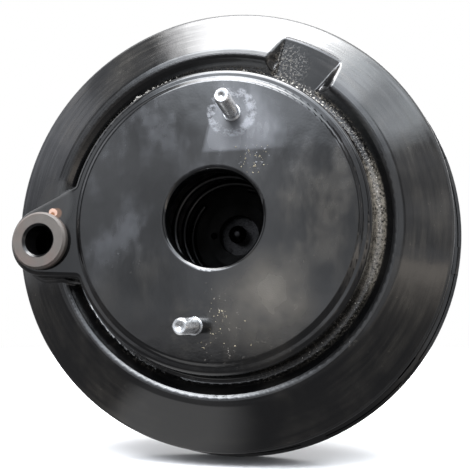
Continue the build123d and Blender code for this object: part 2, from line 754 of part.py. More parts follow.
def clevis():
    width = CLEVIS_GAP + 2 * CLEVIS_EAR
    side = Plane(origin=(0, 0, 0), x_dir=(0, 1, 0), z_dir=(1, 0, 0))
    middle = CLEVIS_Y + CLEVIS_LENGTH / 2
    strap = Pos(middle, 0) * Rectangle(CLEVIS_LENGTH, 2 * CLEVIS_END_R)
    plan = strap + Pos(CLEVIS_PIN_Y, 0) * Circle(CLEVIS_END_R)
    fork = extrude(side * plan, amount=width / 2, both=True)
    corners = fork.edges().filter_by(Axis.Z).sort_by(Axis.Y)[:2]
    fork = fillet(corners, radius=CLEVIS_CORNER)
    reach = CLEVIS_LENGTH + CLEVIS_END_R
    gap_y = CLEVIS_Y + CLEVIS_BASE + reach / 2
    fork -= Pos(0, gap_y, 0) * Box(CLEVIS_GAP, reach, 3 * CLEVIS_END_R)
    pin = Pos(CLEVIS_PIN_Y, 0) * Circle(CLEVIS_PIN_R)
    fork -= extrude(side * pin, amount=width, both=True)
    return fork - rod(ROD_R + THREAD_CLEARANCE, CLEVIS_Y - MARGIN, CLEVIS_PIN_Y)


def air_filter():
    return ring(FILTER_IN_R, TAIL_BORE_R - BORE_CLEARANCE, FILTER_Y, FILTER_Y + FILTER_LENGTH)


def dust_boot():
    neck_r = NECK_R + RUNNING
    line = [(neck_r, BOOT_START), (neck_r, BOOT_FOLD_START)]
    half = BOOT_FOLD_LENGTH / 2
    for fold in range(BOOT_FOLDS):
        start = BOOT_FOLD_START + fold * BOOT_FOLD_LENGTH
        line.append((BOOT_PEAK_R, start + half))
        line.append((BOOT_VALLEY_R, start + 2 * half))
    cap_y = BOOT_FOLD_END + BOOT_CAP
    collar_r = ROD_R + BORE_CLEARANCE
    line += [(BOOT_VALLEY_R, cap_y), (collar_r, cap_y), (collar_r, BOOT_END_Y)]
    boot = pressed(line, BOOT_BEND, BOOT, Side.RIGHT)
    vent = rod(BOOT_VENT_R, cap_y - 2 * BOOT, cap_y + 2 * BOOT)
    for step in range(BOOT_VENTS):
        x, z = on_circle(BOOT_VENT_CIRCLE_R, step * 360.0 / BOOT_VENTS)
        boot -= Pos(x, 0, z) * vent
    return boot


def main():
    os.makedirs("parts", exist_ok=True)
    save("front_shell", front_shell())
    save("rear_shell", rear_shell())
    save("front_reinforcement", front_reinforcement())
    save("rear_reinforcement", rear_reinforcement())
    save("front_studs", *front_studs())
    save("rear_studs", *rear_studs())
    save("vacuum_grommet", vacuum_grommet())
    save("power_piston", power_piston())
    save("stop_key", stop_key())
    save("reaction_disc", reaction_disc())
    save("output_rod", output_rod())
    save("rod_retainer", rod_retainer())
    save("air_valve_plunger", air_valve_plunger())
    save("poppet_valve", poppet_valve())
    save("poppet_retainer", poppet_retainer())
    seat = POPPET_Y + POPPET_FACE + SEAT_GAP
    bead = POPPET_BEAD_Y - SEAT_GAP
    save("poppet_spring", coil(POPPET_SPRING_R, POPPET_WIRE_R, seat, bead, POPPET_TURNS))
    front = POPPET_BEAD_Y + POPPET_BEAD + RETAINER + SEAT_GAP
    collar = ROD_COLLAR_Y - SEAT_GAP
    save("input_spring", coil(INPUT_SPRING_R, INPUT_WIRE_R, front, collar, INPUT_TURNS))
    save("return_spring", return_spring())
    save("diaphragm_plate", diaphragm_plate())
    save("diaphragm", diaphragm())
    save("guide_bush", guide_bush())
    save("neck_seal", neck_seal())
    save("air_filter", air_filter())
    save("input_rod", input_rod())
    save("lock_nut", lock_nut())
    save("clevis", clevis())
    save("dust_boot", dust_boot())


main()
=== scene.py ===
import json
import math
import random

import bmesh
import bpy
from mathutils import Matrix, Vector

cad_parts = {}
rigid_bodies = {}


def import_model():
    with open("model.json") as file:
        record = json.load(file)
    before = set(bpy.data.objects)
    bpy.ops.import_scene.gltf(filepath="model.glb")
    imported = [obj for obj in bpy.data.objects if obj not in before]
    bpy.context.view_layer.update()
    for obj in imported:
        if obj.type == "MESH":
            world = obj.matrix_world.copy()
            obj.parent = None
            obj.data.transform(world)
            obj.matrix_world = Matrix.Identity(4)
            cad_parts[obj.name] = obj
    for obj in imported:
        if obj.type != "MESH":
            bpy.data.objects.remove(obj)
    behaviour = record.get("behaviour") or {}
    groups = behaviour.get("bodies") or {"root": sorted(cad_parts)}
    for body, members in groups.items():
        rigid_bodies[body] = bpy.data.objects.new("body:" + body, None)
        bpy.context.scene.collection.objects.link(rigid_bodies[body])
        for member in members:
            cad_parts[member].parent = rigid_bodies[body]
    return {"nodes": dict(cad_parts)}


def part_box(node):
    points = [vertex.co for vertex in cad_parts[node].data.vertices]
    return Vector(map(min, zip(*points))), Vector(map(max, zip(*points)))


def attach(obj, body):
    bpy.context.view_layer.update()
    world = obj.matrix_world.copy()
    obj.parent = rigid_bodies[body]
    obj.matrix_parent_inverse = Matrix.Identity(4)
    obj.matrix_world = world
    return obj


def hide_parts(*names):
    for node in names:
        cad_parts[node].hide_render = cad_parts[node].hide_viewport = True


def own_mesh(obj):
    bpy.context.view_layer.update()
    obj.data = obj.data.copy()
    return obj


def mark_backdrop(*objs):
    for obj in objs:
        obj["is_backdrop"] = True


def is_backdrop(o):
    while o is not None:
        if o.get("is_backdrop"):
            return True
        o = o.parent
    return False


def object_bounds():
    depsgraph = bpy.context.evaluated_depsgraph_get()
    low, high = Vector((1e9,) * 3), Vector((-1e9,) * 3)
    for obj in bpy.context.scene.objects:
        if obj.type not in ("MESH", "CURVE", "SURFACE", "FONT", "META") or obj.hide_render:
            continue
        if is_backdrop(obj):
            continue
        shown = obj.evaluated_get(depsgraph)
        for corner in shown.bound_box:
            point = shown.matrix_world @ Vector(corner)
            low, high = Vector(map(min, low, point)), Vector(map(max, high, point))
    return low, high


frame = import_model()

cad_low, cad_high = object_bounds()

MM = 0.001
PLATEAU_Y = -0.095
MOUNT_Y = 0.0
GROOVE_Y = -0.0786
POWER_STROKE = 0.032
VALVE_STROKE = 0.0024
STUD_PLACES = [(0.00972, 0.05515), (-0.00972, -0.05515)]
REAR_STUD_PLACES = [(x, z) for x in (-0.040, 0.040) for z in (-0.036, 0.036)]
PORT = (-0.0955, -0.0098)

SEGMENTS = 48
THREAD_R = 4.0 * MM
THREAD_PITCH = 1.25 * MM
THREAD_DEPTH = 0.34 * MM
THREAD_PLAIN = 2.6 * MM
THREAD_RINGS_PER_TURN = 9
THREAD_CREST_SHARE = 0.85
TIP_CHAMFER = 0.9 * MM
SHANK_R = 4.8 * MM
STUD_HEAD_R = 7.0 * MM
STUD_HEAD_DEPTH = 3.0 * MM

CHIP_SHARE = 0.62
WALL_CHIP_R = 86.4 * MM
WALL_CHIP_RISE = 0.9 * MM
COARSE_GRAIN = 0.6 * MM

CAMERA_LENS = 47.49
CAMERA_PLACE = (0.07312, -0.39946, -0.05269)
CAMERA_AHEAD = (-0.19633, 0.97084, 0.13757)
CAMERA_SIDE = (0.98016, 0.19822, 0.0)
FLOOR_REACH = 30


def add_node(tree, kind, inputs, **settings):
    """A shader node whose inputs are given as values or as sockets to link."""
    node = tree.nodes.new(kind)
    for key, value in settings.items():
        setattr(node, key, value)
    for key, value in inputs.items():
        if isinstance(value, bpy.types.NodeSocket):
            tree.links.new(value, node.inputs[key])
        else:
            node.inputs[key].default_value = value
    return node


class Shade:
    """A node material that is built up call by call. Places are in metres in the row frame."""

    def __init__(self, name, **values):
        self.data = bpy.data.materials.new(name)
        self.data.use_nodes = True
        self.tree = self.data.node_tree
        self.shader = self.tree.nodes["Principled BSDF"]
        for key, value in values.items():
            self.shader.inputs[key.replace("_", " ")].default_value = value
        self.place = self.add("ShaderNodeTexCoord").outputs["Object"]

    def add(self, kind, inputs=None, **settings):
        return add_node(self.tree, kind, inputs or {}, **settings)

    def math(self, operation, a, b=0.0):
        return self.add("ShaderNodeMath", {0: a, 1: b}, operation=operation).outputs[0]

    def product(self, *factors):
        result = factors[0]
        for factor in factors[1:]:
            result = self.math("MULTIPLY", result, factor)
        return result

    def total(self, *terms):
        result = terms[0]
        for term in terms[1:]:
            result = self.math("ADD", result, term)
        return result

    def noise(self, scale, detail=3.0, roughness=0.5, stretch=(1, 1, 1), offset=(0, 0, 0)):
        moved = self.add(
            "ShaderNodeMapping", {"Vector": self.place, "Scale": stretch, "Location": offset}
        )
        inputs = {
            "Vector": moved.outputs[0], "Scale": scale, "Detail": detail, "Roughness": roughness
        }
        return self.add("ShaderNodeTexNoise", inputs).outputs["Fac"]

    def steps(self, value, low, high, start=0.0, end=1.0):
        node = self.add(
            "ShaderNodeMapRange",
            {"Value": value, "From Min": low, "From Max": high, "To Min": start, "To Max": end},
            interpolation_type="SMOOTHSTEP",
        )
        return node.outputs["Result"]

    def axes(self):
        xyz = self.add("ShaderNodeSeparateXYZ", {0: self.place})
        return xyz.outputs["X"], xyz.outputs["Y"], xyz.outputs["Z"]

    def polar(self, east, north):
        """Distance from the part's axis, and the angle from +X seen from the front."""
        flat = self.add("ShaderNodeCombineXYZ", {"X": east, "Z": north})
        radius = self.add("ShaderNodeVectorMath", {0: flat.outputs[0]}, operation="LENGTH")
        return radius.outputs["Value"], self.math("ARCTAN2", north, east)

    def around(self, radius, angle, along, across):
        """Noise that is drawn out round the part's axis, as polishing and pressing leave it."""
        turned = self.add(
            "ShaderNodeCombineXYZ",
            {
                "X": self.math("MULTIPLY", angle, along),
                "Y": self.math("MULTIPLY", radius, across),
            },
        )
        inputs = {"Vector": turned.outputs[0], "Scale": 1.0, "Detail": 3.0}
        return self.add("ShaderNodeTexNoise", inputs).outputs["Fac"]

    def away(self, x, z, y=None):
        """Distance from a point, or without y from a line along Y."""
        scale = (1, 1 if y is not None else 0, 1)
        flat = self.add("ShaderNodeVectorMath", {0: self.place, 1: scale}, operation="MULTIPLY")
        inputs = {0: flat.outputs[0], 1: (x, y or 0, z)}
        return self.add("ShaderNodeVectorMath", inputs, operation="DISTANCE").outputs["Value"]

    def spot(self, x, z, radius, soft, y=None):
        return self.steps(self.away(x, z, y), radius + soft, radius)

    def band(self, value, low, high, soft):
        rise = self.steps(value, low - soft, low)
        fall = self.steps(value, high + soft, high)
        return self.math("MULTIPLY", rise, fall)

    def mix(self, factor, a, b):
        colors = [c if isinstance(c, bpy.types.NodeSocket) else (*c, 1.0) for c in (a, b)]
        inputs = {0: factor, 6: colors[0], 7: colors[1]}
        return self.add("ShaderNodeMix", inputs, data_type="RGBA").outputs[2]

    def bump(self, height, distance, strength=1.0, normal=None):
        inputs = {"Height": height, "Distance": distance, "Strength": strength}
        if normal is not None:
            inputs["Normal"] = normal
        return self.add("ShaderNodeBump", inputs).outputs[0]

    def finish(self, **links):
        for key, value in links.items():
            self.tree.links.new(value, self.shader.inputs[key.replace("_", " ")])
        return self.data


class Enamel(Shade):
    """Black stove enamel on a pressing, with a thin film and layers of dust on it."""

    def __init__(self, name):
        super().__init__(name, Specular_IOR_Level=0.5, Coat_Weight=0.3, Coat_Roughness=0.05)
        self.east, self.along, self.north = self.axes()
        self.radius, self.angle = self.polar(self.east, self.north)
        self.cloud = self.noise(24.0, 4.0, 0.6)
        self.streak = self.noise(
            42.0, 4.0, 0.65, stretch=(1.0, 1.0, 0.35), offset=(0.3, 0.1, 0.7)
        )
        self.fleck = self.steps(self.noise(420.0, 3.0, 0.7), 0.62, 0.72)
        self.swirl = self.around(self.radius, self.angle, 2.2, 330.0)
        self.layers = []
        self.lay(self.steps(self.cloud, 0.42, 0.75), self.steps(self.streak, 0.4, 0.7), 0.07)
        self.lay(self.fleck, self.steps(self.cloud, 0.45, 0.7), 0.12)

    def lay(self, *factors):
        """Adds a layer of dust or film, as the product of its masks and its strength."""
        self.layers.append(self.product(*factors))


def groove_dust(s):
    """Shop dust on the floors of the groove and of the pad."""
    sand = s.noise(700.0, 3.0, 0.75)
    packed = s.steps(sand, 0.30, 0.60)
    loose = s.steps(sand, 0.50, 0.64)
    floor = s.product(
        s.band(s.radius, 0.0812, 0.0862, 0.0014), s.steps(s.along, -0.0840, -0.0800)
    )
    arcs = (
        (-0.30, 0.20, 0.25, packed, 0.60),
        (0.12, 0.80, 0.25, loose, 0.30),
        (-0.95, -0.50, 0.30, packed, 0.10),
        (0.80, 2.30, 0.20, loose, 0.55),
    )
    for start, end, soft, grains, strength in arcs:
        s.lay(floor, s.band(s.angle, start, end, soft), grains, strength)
    s.lay(floor, s.steps(s.cloud, 0.4, 0.6), loose, 0.25)
    on_pad = s.spot(0.0360, 0.0850, 0.004, 0.013)
    s.lay(on_pad, s.steps(s.along, -0.0835, -0.0795), loose, 0.55)


def plateau_marks(s):
    """Haze, wipe marks and sand on the plateau, and scuffs round its studs. One smear is laid
    thinner towards the bottom as painted shade, the plateau lit from above.
    """
    flat = s.product(s.steps(s.along, -0.0944, -0.0948), s.steps(s.radius, 0.0740, 0.0715))
    blot = s.steps(s.noise(38.0, 3.0, 0.55, offset=(0.1, 0.2, 0.6)), 0.15, 0.80)
    s.lay(flat, s.spot(0.0270, -0.0430, 0.003, 0.029), blot, 0.46)
    # a hazy wiped patch under the upper stud
    edge = s.math("SUBTRACT", s.east, s.math("MULTIPLY", s.north, 0.2625))
    patch = s.product(s.steps(s.north, 0.0335, 0.0360), s.steps(edge, -0.0165, -0.0135))
    fade = s.spot(0.0125, 0.0440, 0.010, 0.020)
    s.lay(flat, patch, fade, s.steps(s.streak, 0.25, 0.6, 0.6, 1.0), 0.32)
    scuff = s.steps(s.noise(260.0, 4.0, 0.7), 0.40, 0.62)
    for place, strength in zip(STUD_PLACES, (0.60, 0.04)):
        s.lay(flat, s.band(s.away(*place), 0.0092, 0.0122, 0.0018), scuff, strength)
    # sand under the upper stud and round the lower one
    s.lay(s.spot(0.0215, 0.0300, 0.003, 0.008), s.fleck, 0.8)
    trail = s.band(s.away(*STUD_PLACES[1]), 0.012, 0.022, 0.004)
    s.lay(trail, s.steps(s.east, -0.010, 0.0), s.fleck, 0.8)
    smear = s.noise(30.0, 3.0, 0.55, stretch=(2.0, 1.0, 0.9), offset=(0.0, 0.4, 0.2))
    # Painted light: the smear is real, but it fades towards the bottom, so the plateau is lighter
    # at the top and darker towards the bottom, as light falls from above.
    upper = s.steps(s.north, -0.035, 0.000, 0.25, 1.0)
    s.lay(flat, s.steps(smear, 0.44, 0.62), s.steps(s.cloud, 0.38, 0.62), upper, 0.14)


def ring_film(s):
    """A film on the coned ring that was wiped round."""
    outside = s.product(s.steps(s.radius, 0.094, 0.100), s.steps(s.cloud, 0.40, 0.70))
    s.lay(outside, s.steps(s.swirl, 0.3, 0.7), 0.075)


def dust_tint(s, front):
    """Brown dust, which is pale and cool on the upper left of the plateau."""
    tint = s.mix(s.noise(60.0, 3.0), (0.160, 0.145, 0.125), (0.21, 0.185, 0.145))
    if not front:
        return tint
    across = s.math("SUBTRACT", s.north, s.math("MULTIPLY", s.east, 0.6))
    pale = s.product(s.steps(across, -0.012, 0.020), s.steps(s.radius, 0.078, 0.075))
    return s.mix(pale, tint, (0.25, 0.26, 0.285))


def port_chip(s, color):
    """Paint flaked off beside the port, with a painted orange-brown shadow just right of the
    flake. Gives the new color and the mask of the flake.
    """
    # Painted shadow: an orange-brown patch right of the flake, in place of the shadow beside it.
    shade = s.steps(s.away(-0.0872, 0.0052), 0.0034, 0.0022, 0.0, 0.75)
    color = s.mix(shade, color, (0.115, 0.055, 0.028))
    jitter = s.product(s.math("SUBTRACT", s.noise(900.0), 0.5), 0.0012)
    flake = s.steps(s.total(s.away(-0.0895, 0.0054), jitter), 0.0027, 0.0023)
    color = s.mix(flake, color, (0.42, 0.275, 0.215))
    core = s.steps(s.away(-0.0897, 0.0047), 0.0016, 0.0009)
    return s.mix(core, color, (0.20, 0.085, 0.038)), flake


def dull_places(s):
    """Rougher paint where the bridge meets the ring and on the rolled edge of the rim."""
    bridge = s.spot(-0.0950, 0.0110, 0.0120, 0.0090, y=-0.0910)
    rim = s.product(s.steps(s.radius, 0.1192, 0.1200), s.steps(s.along, -0.0690, -0.0705))
    return [s.product(bridge, 0.55), s.product(rim, 0.45)]


def pressed_relief(s, wave):
    """The soft roll of the ring's crown, polishing lines on the ring, and the floor of the
    pad, which leans a little towards the ground."""
    rolled = s.product(
        s.steps(s.radius, 0.0865, 0.0910),
        s.steps(s.radius, 0.0965, 0.0910),
        s.band(s.along, -0.0868, -0.0806, 0.0015),
    )
    wave = s.bump(s.math("MULTIPLY", rolled, -1.0), 0.0016, 1.0, wave)
    lines = s.product(
        s.swirl, s.steps(s.radius, 0.093, 0.098), s.steps(s.radius, 0.119, 0.117)
    )
    wave = s.bump(lines, 0.0004, 0.35, wave)
    pad = s.product(
        s.band(s.angle, 0.915, 1.218, 0.004), s.band(s.along, -0.0789, -0.0783, 0.0004)
    )
    rise = s.product(pad, s.math("SUBTRACT", s.north, 0.085), 100.0)
    return s.bump(rise, 0.0011, 1.0, wave)


def enamel(name, front):
    """The paint of a shell. The front one has the marks that the photograph shows."""
    s = Enamel(name)
    wave = s.bump(s.noise(48.0, 2.0, 0.4), 0.0006, 0.5)
    if front:
        groove_dust(s)
        plateau_marks(s)
        ring_film(s)
        wave = pressed_relief(s, wave)
    dust = s.math("MINIMUM", s.total(*s.layers), 0.92)
    coat = s.mix(s.cloud, (0.0008, 0.0009, 0.0011), (0.0020, 0.0020, 0.0021))
    color = s.mix(dust, coat, dust_tint(s, front))
    if front:
        color, flake = port_chip(s, color)
        dust = s.math("MAXIMUM", dust, flake)
    rough = s.total(
        s.steps(s.streak, 0.3, 0.75, 0.06, 0.16),
        s.product(s.steps(s.swirl, 0.45, 0.75), s.steps(s.radius, 0.088, 0.094), 0.10),
        s.product(dust, 0.6),
        *(dull_places(s) if front else []),
    )
    peel = s.bump(s.noise(850.0, 2.0, 0.5), 0.00005, 0.30, wave)
    grit = s.bump(s.product(dust, s.noise(1400.0, 2.0, 0.6)), 0.0004, 0.6, peel)
    return s.finish(Base_Color=color, Roughness=rough, Normal=grit)


def plated_steel(name, color, rough, dirt, scale=1.0):
    """Zinc plated or bright steel with turning marks and a little grime."""
    s = Shade(name, Metallic=1.0)
    cloud = s.noise(260.0 * scale, 4.0, 0.65)
    fine = s.noise(1600.0 * scale, 3.0, 0.6)
    stain = s.steps(cloud, 0.48, 0.68)
    dark = tuple(c * dirt for c in color)
    tone = s.mix(s.math("MULTIPLY", stain, 0.7), color, dark)
    gloss = s.steps(fine, 0.3, 0.7, rough * 0.75, rough * 1.45)
    relief = s.bump(fine, 0.00006, 0.5)
    return s.finish(Base_Color=tone, Roughness=gloss, Normal=relief)


def moulded(name, color, dusty, rough, grit=0.00008, dust=0.35):
    """Rubber or plastic from a mould, with bloom and dust in patches."""
    s = Shade(name, Specular_IOR_Level=0.4)
    cloud = s.noise(85.0, 4.0, 0.6)
    grain = s.noise(1300.0, 3.0, 0.6)
    patch = s.product(s.steps(cloud, 0.38, 0.7), s.steps(grain, 0.3, 0.7, 0.5, 1.0), dust)
    tone = s.mix(patch, color, dusty)
    gloss = s.steps(cloud, 0.35, 0.7, rough, min(1.0, rough * 1.35))
    relief = s.bump(grain, grit, 0.6)
    return s.finish(Base_Color=tone, Roughness=gloss, Normal=relief)


def port_rubber(name):
    """Dusty brown-grey rubber. Its bore and inner edge are coloured near black: partly clean
    rubber, partly painted shade inside the bore.
    """
    s = Shade(name, Specular_IOR_Level=0.45)
    centre = s.away(*PORT)
    along = s.axes()[1]
    bloom = s.noise(160.0, 5.0, 0.7)
    warm = s.noise(60.0, 3.0, 0.5, offset=(0.2, 0.5, 0.1))
    outside = s.product(s.steps(centre, 0.0089, 0.0097), s.steps(along, -0.0930, -0.0962))
    tone = s.mix(bloom, (0.060, 0.054, 0.049), (0.105, 0.092, 0.082))
    tone = s.mix(s.steps(warm, 0.45, 0.65, 0.0, 0.6), tone, (0.100, 0.072, 0.062))
    # Painted shade: inside the bore and on its inner edge the rubber is near black, darker than
    # clean rubber, for the shade in the bore.
    color = s.mix(outside, (0.0030, 0.0030, 0.0032), tone)
    rough = s.steps(outside, 0.0, 1.0, 0.22, 0.60)
    relief = s.bump(s.noise(1500.0, 3.0, 0.6), 0.0001, 0.5)
    return s.finish(Base_Color=color, Roughness=rough, Normal=relief)


def felt(name, color):
    """Pressed fibre."""
    s = Shade(name, Sheen_Weight=0.4, Roughness=0.95)
    fibre = s.noise(900.0, 6.0, 0.8, stretch=(1.0, 3.0, 1.0))
    tone = s.mix(fibre, tuple(c * 0.5 for c in color), tuple(min(1.0, c * 1.5) for c in color))
    return s.finish(Base_Color=tone, Normal=s.bump(fibre, 0.0006, 0.8))


def mesh_object(name, mesh, material, smooth=True):
    obj = bpy.data.objects.new(name, mesh)
    bpy.context.scene.collection.objects.link(obj)
    mesh.materials.clear()
    mesh.materials.append(material)
    if smooth:
        mesh.polygons.foreach_set("use_smooth", [True] * len(mesh.polygons))
    return obj


def rings_to_mesh(bm, rings):
    """Skins a list of equal closed rings of points and closes both ends."""
    made = [[bm.verts.new(p) for p in ring] for ring in rings]
    count = len(made[0])
    for a, b in zip(made, made[1:]):
        for i in range(count):
            j = (i + 1) % count
            bm.faces.new((a[i], a[j], b[j], b[i]))
    bm.faces.new(list(reversed(made[0])))
    bm.faces.new(made[-1])


def rim_point(centre, radius, y, share):
    """The point at a share of a full turn on a circle across Y."""
    turn = 2 * math.pi * share
    return (centre[0] + radius * math.cos(turn), y, centre[1] + radius * math.sin(turn))


def circle(centre, radius, y):
    return [rim_point(centre, radius, y, j / SEGMENTS) for j in range(SEGMENTS)]


def thread_rings(centre, start, length, tip):
    """Rings of a threaded pin along Y. start is at its root, and tip is -1 or 1 along Y."""
    rings = []
    steps = int(length / THREAD_PITCH * THREAD_RINGS_PER_TURN)
    for i in range(steps + 1):
        done = length * i / steps
        fade = min(1.0, max(0.0, (done - THREAD_PLAIN) / (THREAD_PITCH * 1.2)))
        at_tip = THREAD_R - TIP_CHAMFER + (length - done)
        ring = []
        for j in range(SEGMENTS):
            share = j / SEGMENTS
            phase = (done / THREAD_PITCH + share) % 1.0
            flank = min(abs(phase - 0.5) * 2.0, THREAD_CREST_SHARE) / THREAD_CREST_SHARE
            radius = min(THREAD_R - THREAD_DEPTH * flank * fade, at_tip)
            ring.append(rim_point(centre, radius, start + tip * done, share))
        rings.append(ring)
    return rings


def stud_piece(name, node, places, root, face, tip_y, material, body):
    """Threaded studs with a round head inside the shell, a pressed-in shank from root to
    face and a dimpled tip."""
    tip = -1 if tip_y < root else 1
    back = root - tip * STUD_HEAD_DEPTH
    head = (
        (STUD_HEAD_R - 0.4 * MM, back),
        (STUD_HEAD_R, back + tip * 0.4 * MM),
        (STUD_HEAD_R, root - tip * 0.2 * MM),
        (STUD_HEAD_R - 0.3 * MM, root),
        (SHANK_R, root),
        (SHANK_R, face - tip * 0.2 * MM),
        (SHANK_R - 0.2 * MM, face),
        (THREAD_R, face),
    )
    dimple = ((1.7, 0.0), (1.45, 0.12), (1.0, 0.55), (0.45, 0.85), (0.12, 0.95))
    bm = bmesh.new()
    for place in places:
        rings = [circle(place, radius, y) for radius, y in head]
        rings += thread_rings(place, face, abs(tip_y - face), tip)
        rings += [circle(place, r * MM, tip_y - tip * drop * MM) for r, drop in dimple]
        rings_to_mesh(bm, rings)
    bmesh.ops.recalc_face_normals(bm, faces=bm.faces)
    mesh = bpy.data.meshes.new(name)
    bm.to_mesh(mesh)
    bm.free()
    obj = mesh_object(name, mesh, material)
    mesh.set_sharp_from_angle(angle=math.radians(38))
    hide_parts(node)
    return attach(obj, body)


def live_copy(node, material, body):
    """A copy of a soft or springy node, which takes the node's place on a body."""
    mesh = frame["nodes"][node].data.copy()
    obj = mesh_object(node + "_live", mesh, material)
    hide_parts(node)
    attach(obj, body)
    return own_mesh(obj)


paint = enamel("front_enamel", True)
rear_paint = enamel("rear_enamel", False)
zinc = plated_steel("zinc_plate", (0.66, 0.67, 0.68), 0.27, 0.30)
plate_steel = plated_steel("plate_steel", (0.30, 0.30, 0.31), 0.42, 0.5, 0.4)
key_steel = plated_steel("key_steel", (0.45, 0.42, 0.34), 0.38, 0.5)
# Painted shade: the rod and washer steel, the spring enamel and the piston plastic below are
# coloured darker than their own black finishes. This is partly black oxide, phosphate and
# plastic, partly painted shade of the deep bore they sit in.
rod_steel = plated_steel("rod_steel", (0.020, 0.020, 0.021), 0.22, 0.5)
spring_steel = moulded(
    "spring_enamel_and_shade", (0.0012, 0.0012, 0.0014), (0.003, 0.003, 0.003), 0.26, 0.00003
)
grommet = port_rubber("grommet_rubber")
piston = moulded("piston_plastic", (0.0008, 0.0008, 0.0009), (0.002, 0.002, 0.002), 0.62, 0.00004)
disc = moulded("disc_rubber", (0.012, 0.012, 0.012), (0.05, 0.05, 0.05), 0.6)
cloth_rubber = moulded("diaphragm_rubber", (0.016, 0.016, 0.017), (0.06, 0.06, 0.06), 0.6, 0.0002)
bush = moulded("bush_plastic", (0.62, 0.59, 0.52), (0.35, 0.32, 0.27), 0.4, 0.00004)
boot = moulded("boot_rubber", (0.014, 0.014, 0.015), (0.085, 0.08, 0.075), 0.5, 0.00012, 0.5)
filter_felt = felt("filter_felt", (0.20, 0.20, 0.19))

finishes = {
    "black_paint": paint,
    "black_paint_rear": rear_paint,
    "plate_steel": plate_steel,
    "zinc_stud": zinc,
    "zinc_rod": zinc,
    "grommet_rubber": grommet,
    "piston_plastic": piston,
    "key_steel": key_steel,
    "disc_rubber": disc,
    "rod_steel": rod_steel,
    "washer_steel": rod_steel,
    "spring_steel": spring_steel,
    "diaphragm_rubber": cloth_rubber,
    "bush_plastic": bush,
    "filter_felt": filter_felt,
    "boot_rubber": boot,
}
slots = {
    "front_shell": "black_paint",
    "rear_shell": "black_paint_rear",
    "front_reinforcement": "plate_steel",
    "rear_reinforcement": "plate_steel",
    "front_studs": "zinc_stud",
    "rear_studs": "zinc_stud",
    "vacuum_grommet": "grommet_rubber",
    "power_piston": "piston_plastic",
    "stop_key": "key_steel",
    "reaction_disc": "disc_rubber",
    "output_rod": "rod_steel",
    "rod_retainer": "washer_steel",
    "air_valve_plunger": "rod_steel",
    "poppet_valve": "disc_rubber",
    "poppet_retainer": "washer_steel",
    "poppet_spring": "spring_steel",
    "input_spring": "spring_steel",
    "return_spring": "spring_steel",
    "diaphragm_plate": "plate_steel",
    "diaphragm": "diaphragm_rubber",
    "guide_bush": "bush_plastic",
    "neck_seal": "disc_rubber",
    "air_filter": "filter_felt",
    "input_rod": "zinc_rod",
    "lock_nut": "zinc_rod",
    "clevis": "zinc_rod",
    "dust_boot": "boot_rubber",
}
for node, obj in frame["nodes"].items():
    material = finishes[slots[node]]
    for i in range(len(obj.material_slots)):
        obj.material_slots[i].material = material

stud_low, stud_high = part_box("front_studs")
stud_piece(
    "front_stud_threads", "front_studs", STUD_PLACES, stud_high.y - STUD_HEAD_DEPTH, PLATEAU_Y,
    stud_low.y, zinc, "housing",
)
stud_low, stud_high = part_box("rear_studs")
stud_piece(
    "rear_stud_threads", "rear_studs", REAR_STUD_PLACES, stud_low.y + STUD_HEAD_DEPTH, MOUNT_Y,
    stud_high.y, zinc, "housing",
)


def crumb_piece(name, material, spots, seed):
    """Small grains that lie on the paint. Each spot gives x, z, the surface's y and a size."""
    chance = random.Random(seed)
    bm = bmesh.new()
    for x, z, y, size in spots:
        fineness = 2 if size > COARSE_GRAIN else 1
        grain = bmesh.ops.create_icosphere(bm, subdivisions=fineness, radius=1.0)
        flat = chance.uniform(0.45, 0.75)
        spin = Matrix.Rotation(chance.uniform(0, 6.28), 3, "Y")
        phases = [chance.uniform(0, 6.28) for _ in range(3)]
        for vert in grain["verts"]:
            p = vert.co
            lump = 1.0 + 0.28 * math.sin(3.1 * p.x + phases[0]) * math.cos(2.7 * p.z + phases[1])
            lump += 0.15 * math.sin(7.0 * p.y + phases[2])
            uneven = lump * chance.uniform(0.85, 1.1)
            p = spin @ Vector((p.x * lump, p.y * flat * lump, p.z * uneven))
            vert.co = Vector((x, y - 0.35 * size * flat, z)) + p * size
    mesh = bpy.data.meshes.new(name)
    bm.to_mesh(mesh)
    bm.free()
    obj = mesh_object(name, mesh, material, smooth=False)
    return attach(obj, "housing")


def ring_spots(seed, count, first, last, inner, outer, small, large):
    """Grains strewn over the groove floor between two angles."""
    chance = random.Random(seed)
    spots = []
    for _ in range(count):
        turn = math.radians(chance.uniform(first, last))
        r = chance.uniform(inner, outer)
        size = small + (large - small) * chance.random() ** 3
        spots.append((r * math.cos(turn), r * math.sin(turn), GROOVE_Y, size))
    return spots


def cluster(seed, count, x, z, spread, y, small, large):
    """Grains round one place on a flat face."""
    chance = random.Random(seed)
    spots = []
    for _ in range(count):
        size = small + (large - small) * chance.random() ** 2
        spots.append((chance.gauss(x, spread), chance.gauss(z, spread), y, size))
    return spots


chips = [
    (19.4, 80.2, 0.9), (24.8, 79.4, 1.1), (27.6, 78.0, 0.9), (31.0, 76.6, 0.9), (34.0, 74.6, 1.2),
    (36.6, 73.4, 1.4), (38.4, 72.6, 1.2), (40.8, 71.4, 1.5), (42.4, 70.6, 1.2), (44.0, 69.4, 1.5),
    (46.6, 67.6, 1.3), (48.6, 66.4, 1.4), (50.4, 65.0, 1.2), (52.4, 63.8, 1.3), (54.0, 62.6, 0.9),
    (55.6, 61.2, 1.1), (57.8, 59.2, 0.7), (49.8, 67.6, 0.7), (46.0, 70.0, 0.8), (59.8, 59.0, 0.6),
]
wall_chips = [
    (124.4, 1.9), (123.2, 2.6), (122.0, 1.5), (119.2, 1.9), (118.4, 1.3), (116.4, 1.6),
    (114.6, 1.2), (112.8, 0.9), (111.2, 1.3), (109.4, 0.8), (126.4, 0.9), (120.6, 0.9),
    (106.8, 0.8),
]
